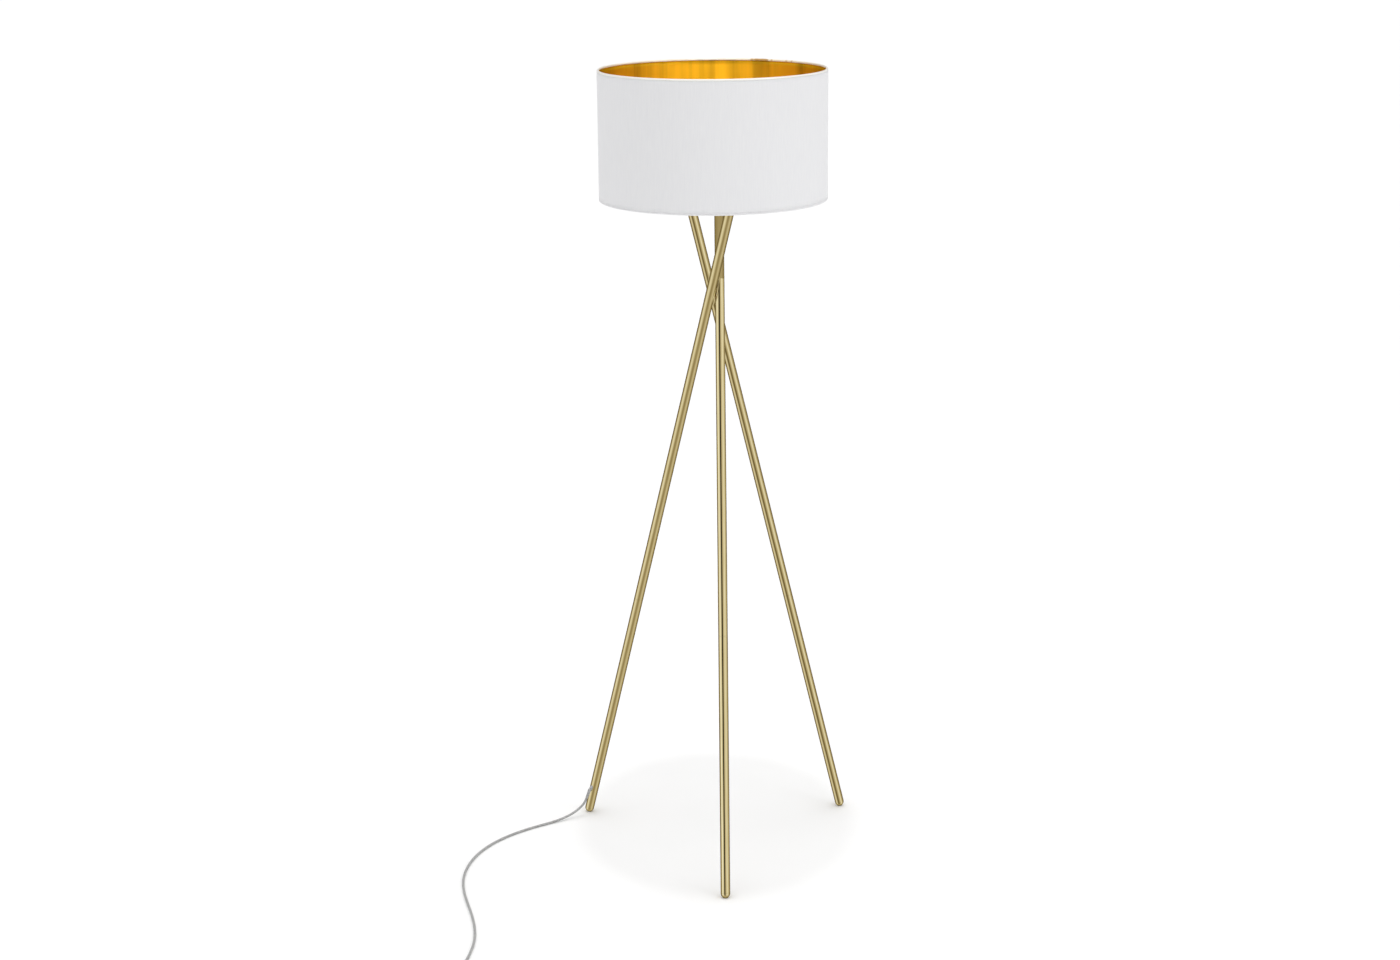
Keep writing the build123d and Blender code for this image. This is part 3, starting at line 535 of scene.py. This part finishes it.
# ------------------------------------------------------------------ shade
def drum_wall(name, outer, inner, low, high, ripple_out, ripple_in):
    """Thin round wall; the two ripples give how far each face dips inward at a turn and height share."""
    points = []
    for radius, ripple in ((outer, ripple_out), (inner, ripple_in)):
        for row in range(shade_rows + 1):
            share = row / shade_rows
            for step in range(shade_segments):
                turn = 2 * math.pi * step / shade_segments
                here = radius - ripple(turn, share)
                points.append((here * math.cos(turn), here * math.sin(turn), low + (high - low) * share))
    faces = []
    ring = shade_segments
    layer = ring * (shade_rows + 1)
    top = shade_rows * ring
    for step in range(ring):
        after = (step + 1) % ring
        for row in range(shade_rows):
            a = row * ring + step
            b = row * ring + after
            faces.append((a, b, b + ring, a + ring))
            faces.append((layer + a + ring, layer + b + ring, layer + b, layer + a))
        faces.append((after, step, layer + step, layer + after))
        faces.append((top + step, top + after, layer + top + after, layer + top + step))
    return mesh_object(name, points, faces)


def smooth_face(turn, share):
    """No ripple, for the faces of cloth and foil that lie against each other."""
    return 0.0


def rippled(depth, rim_share, waves, turn, share):
    """How far a face dips at a turn and height share: less toward its rims."""
    height = sum(weight * math.sin(count * turn + phase + lean * share)
                 for weight, count, phase, lean in waves)
    return depth * (1 + height) * math.sin(math.pi * (rim_share + (1 - 2 * rim_share) * share))


def cloth_ripple(turn, share):
    """Slight hollows of the stretched cloth between its two rims."""
    return rippled(cloth_depth, cloth_rim_share, cloth_waves, turn, share)


def foil_ripple(turn, share):
    """Upright ripples of the foil where it was rolled on."""
    return rippled(foil_depth, foil_rim_share, foil_waves, turn, share)


def wrap_uv(wall, radius):
    """Cloth coordinates in metres: round the drum and up it."""
    uv = wall.data.uv_layers.new(name="wrap")
    for polygon in wall.data.polygons:
        middle = math.atan2(polygon.center.y, polygon.center.x)
        for loop in polygon.loop_indices:
            spot = wall.data.vertices[wall.data.loops[loop].vertex_index].co
            turn = math.atan2(spot.y, spot.x)
            turn += 2 * math.pi * round((middle - turn) / (2 * math.pi))
            uv.data[loop].uv = (turn * radius, spot.z)


def make_shade():
    """Cloth drum and its foil lining, each as a thin wall with its own slight waves."""
    low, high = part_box("shade_fabric")
    outer = high[0]
    cloth = drum_wall("shade_drum", outer, outer - cloth_thickness, low[2], high[2],
                      cloth_ripple, smooth_face)
    wrap_uv(cloth, outer)
    cloth.data.materials.append(shade_cloth())
    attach(cloth, "shade")
    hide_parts("shade_fabric")
    foil_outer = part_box("shade_lining")[1][0]
    foil = drum_wall("shade_foil_lining", foil_outer, foil_outer - foil_thickness, low[2], high[2],
                     smooth_face, foil_ripple)
    foil.data.materials.append(gold_foil())
    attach(foil, "shade")
    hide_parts("shade_lining")


# ------------------------------------------------------------------ the CAD pieces that stay
def wear(material, *names):
    """Puts one material on CAD nodes."""
    for name in names:
        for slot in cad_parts[name].material_slots:
            slot.material = material


def dress_frame(sheath):
    """Materials for everything that keeps its CAD shape."""
    for side in ("front", "left", "right"):
        below, above = leg_line(side)
        brass = brushed_brass(f"brushed_brass_{side}", above - below)
        wear(brass, f"leg_upper_{side}", f"leg_lower_{side}", f"foot_cap_{side}")
    hub_brass = brushed_brass("brushed_brass_hub", (0, 0, 1))
    wear(hub_brass, "hub_base", "hub_cover", "hub_screws", "waist_welds")
    wear(rim_foil(), "shade_trim_top")
    for make, kinds in ((plated, plated_metals), (moulded, moulded_parts)):
        for name, (colour, roughness, nodes) in kinds.items():
            wear(make(name, colour, roughness), *nodes)
    opal = moulded("bulb_opal", opal_colour, opal_roughness, Subsurface_Weight=opal_scatter)
    wear(opal, "bulb_globe")
    wear(sheath, "cable_inner", "cord_outlet", "plug_relief", "switch_reliefs")


def press_spring():
    """Gives the switch's spring a mesh of its own."""
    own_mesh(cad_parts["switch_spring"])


# ------------------------------------------------------------------ studio
def make_floor():
    """Wide pale floor with a painted shadow: an oval of faint shade in its colour under the lamp."""
    half = floor_size / 2
    corners = [(-half, -half, 0), (half, -half, 0), (half, half, 0), (-half, half, 0)]
    floor = mesh_object("floor", corners, [(0, 1, 2, 3)], smooth=False)
    n = Nodes("floor")
    pale = n.ramp(n.noise(n.place(), scale=3.0, detail=2.0), floor_tones)
    # Painted shadow: inside this oval the floor's colour darkens to the shadow tone.
    painted_shadow_oval = n.place(scale=(1 / painted_shadow_half[0], 1 / painted_shadow_half[1], 0),
                   shift=(-painted_shadow_middle[0] / painted_shadow_half[0], -painted_shadow_middle[1] / painted_shadow_half[1], 0))
    painted_shadow_fade = n.spread(n.length(painted_shadow_oval), low=painted_shadow_tone, high=1.0, start=1.0, end=painted_shadow_fade_end,
                    interpolation_type="SMOOTHSTEP")
    floor_with_painted_shadow = n.add("ShaderNodeVectorMath", operation="SCALE")
    n.join(pale, floor_with_painted_shadow.inputs[0])
    n.join(painted_shadow_fade, floor_with_painted_shadow.inputs["Scale"])
    n.colour(floor_with_painted_shadow.outputs["Vector"])
    floor.data.materials.append(n.set(Roughness=0.9, Specular_IOR_Level=0.0))


def seen_only_by(ray, thing):
    """Lets only one kind of ray see a piece: the camera's or reflections'."""
    for kind in ("camera", "diffuse", "glossy", "transmission", "shadow"):
        setattr(thing, f"visible_{kind}", kind == ray)


def make_backdrop():
    """Far white wall, so that the floor has no horizon."""
    wall = round_wall("backdrop", backdrop_radius, backdrop_height)
    wall.data.materials.append(glow("backdrop", backdrop_tone).material)
    seen_only_by("camera", wall)


def screen_colour(tone):
    """Warm where a screen is dark and cool where it is bright."""
    green, blue = (start + more * tone for start, more in (screen_green, screen_blue))
    return (tone, tone * green, tone * blue)


def leg_reflection_screen(name, side, low, high, stops):
    """Glowing sleeve of upright stripes about one leg between two heights: painted reflections in its
    metal.
    """
    below, above = leg_line(side)
    up = (above - below).normalized()
    right = Vector((0, 1, 0)).cross(up).normalized()
    ends = [below + up * ((height - below.z) / up.z) for height in (low, high)]
    screen = round_wall(name, screen_radius, (ends[1] - ends[0]).length)
    turned = Matrix((right, up.cross(right), up)).transposed().to_4x4()
    screen.matrix_world = Matrix.Translation(ends[0]) @ turned
    n = glow(name)
    around = n.add("ShaderNodeTexGradient", gradient_type="RADIAL")
    n.join(n.place(turn=(0.0, 0.0, -math.pi / 2 - math.radians(screen_shift))), around.inputs["Vector"])
    # Painted reflection: these stripe tones are what the leg's metal shows.
    reflection_stripes = n.ramp(around.outputs["Fac"], [(turn / 360, screen_colour(tone)) for turn, tone in stops])
    n.join(reflection_stripes, n.shader.inputs["Emission Color"])
    screen.data.materials.append(n.material)
    seen_only_by("glossy", screen)


def make_reflection_screens():
    """Glowing stripes about the legs and one even patch on the floor for the feet: painted reflections in
    their metal.
    """
    leg_reflection_screen("screen_front", "front", 0.0, screen_waist, front_leg_reflection_tones)
    leg_reflection_screen("screen_behind", "front", screen_waist, screen_top, behind_waist_reflection_tones)
    leg_reflection_screen("screen_left", "left", 0.0, screen_top, left_leg_reflection_tones)
    leg_reflection_screen("screen_right", "right", 0.0, screen_top, right_leg_reflection_tones)
    disc = circle(screen_floor_radius, 0.0)
    patch = mesh_object("screen_floor", disc, [tuple(range(screen_sides))], smooth=False)
    patch.data.materials.append(glow("screen_floor", screen_colour(screen_floor_tone)).material)
    patch.location.z = screen_floor_height
    seen_only_by("glossy", patch)


def area_light(name, place, target, size, power):
    """Soft rectangular light that no camera sees."""
    data = bpy.data.lights.new(name, "AREA")
    data.shape = "RECTANGLE"
    data.size, data.size_y = size
    data.energy = power
    made = link(bpy.data.objects.new(name, data))
    made.location = place
    made.rotation_euler = (Vector(target) - Vector(place)).to_track_quat("-Z", "Y").to_euler()
    made.visible_camera = False


def make_lights():
    """White surround, two lights overhead, one at the right and two small ones in the shade."""
    world = bpy.data.worlds.new("studio")
    world.use_nodes = True
    sky = world.node_tree.nodes["Background"]
    sky.inputs["Color"].default_value = (1.0, 1.0, 1.0, 1.0)
    sky.inputs["Strength"].default_value = world_strength
    bpy.context.scene.world = world
    for name, (strength, spread) in (("wide_light", wide_light), ("floor_light", floor_light)):
        overhead = bpy.data.lights.new(name, "SUN")
        overhead.energy = strength
        overhead.angle = math.radians(spread)
        link(bpy.data.objects.new(name, overhead))
    centre = Vector((0.0, 0.0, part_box("shade_trim_top")[1][2] - shade_light_depth))
    power, size = all_round_light
    fill = bpy.data.lights.new("shade_light", "POINT")
    fill.energy = power
    fill.shadow_soft_size = size
    holder = link(bpy.data.objects.new("shade_light", fill))
    holder.location = centre
    holder.visible_camera = False
    power, size = far_wall_light
    area_light("far_wall_light", centre, centre + Vector((0.0, 1.0, 0.0)), (size, size / 3), power)
    area_light("right_light", side_light_place, side_light_target, side_light_size, side_light_power)


# ------------------------------------------------------------------ build
bpy.context.scene.view_settings.view_transform = "Standard"
cord_sheath = clear_sheath()
make_camera()
make_cords(cord_sheath)
make_shade()
dress_frame(cord_sheath)
press_spring()
make_floor()
make_backdrop()
make_reflection_screens()
make_lights()
